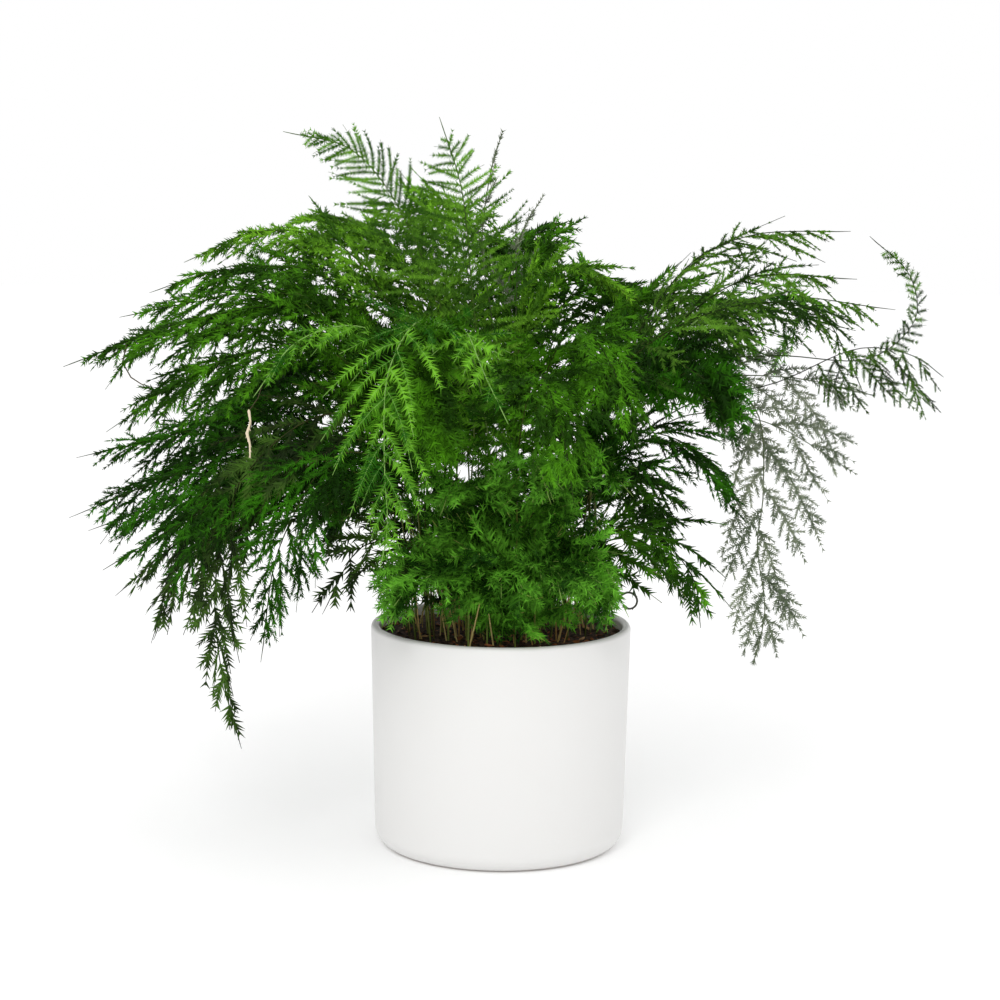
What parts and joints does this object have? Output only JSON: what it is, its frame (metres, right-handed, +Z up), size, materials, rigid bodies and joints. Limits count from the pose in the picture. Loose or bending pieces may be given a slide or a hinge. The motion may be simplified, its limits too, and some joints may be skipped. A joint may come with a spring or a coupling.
{
  "type": "potted asparagus fern",
  "caption": "Asparagus fern with arching wiry fronds in flat layers of fine needles, standing in soil in a white glazed cylinder pot.",
  "frame": {"origin": "centre of the pot's flat underside, on the surface that the pot stands on", "axes": "+Z up along the pot's axis, -Y towards the front of the plant as pictured, +X to its right"},
  "size_m": [0.563, 0.3941, 0.474],
  "materials": {
    "glaze": "satin",
    "soil": "matte",
    "young": "matte",
    "mid": "matte",
    "deep": "matte",
    "cool": "matte",
    "pale": "matte",
    "dry": "matte"
  },
  "bodies": {
    "root": {"frond_back_01": "mid", "frond_back_02": "mid", "frond_back_03": "mid", "frond_back_04": "mid", "frond_back_05": "mid", "frond_back_06": "mid", "frond_back_07": "deep", "frond_back_08": "deep", "frond_back_09": "deep", "frond_front_01": "young", "frond_front_02": "young", "frond_front_03": "mid", "frond_front_04": "young", "frond_front_05": "mid", "frond_front_06": "mid", "frond_left_01": "mid", "frond_left_02": "mid", "frond_left_03": "mid", "frond_left_04": "mid", "frond_left_05": "mid", "frond_left_06": "deep", "frond_left_07": "deep", "frond_left_08": "deep", "frond_left_09": "deep", "frond_left_10": "deep", "frond_left_11": "deep", "frond_left_12": "deep", "frond_left_13": "deep", "frond_left_14": "deep", "frond_left_15": "deep", "frond_low_01": "cool", "frond_low_02": "cool", "frond_low_03": "cool", "frond_low_04": "cool", "frond_low_05": "cool", "frond_low_06": "cool", "frond_low_07": "cool", "frond_low_08": "cool", "frond_right_01": "mid", "frond_right_02": "mid", "frond_right_03": "mid", "frond_right_04": "mid", "frond_right_05": "mid", "frond_right_06": "pale", "frond_right_07": "pale", "frond_right_08": "pale", "frond_right_09": "deep", "frond_right_10": "mid", "frond_right_11": "mid", "frond_right_12": "young", "frond_right_13": "deep", "frond_top_01": "young", "frond_top_02": "young", "frond_top_03": "pale", "frond_top_04": "pale", "frond_top_05": "mid", "frond_top_06": "mid", "pot": "glaze", "soil": "soil", "tendril": "dry"}
  },
  "joints": []
}
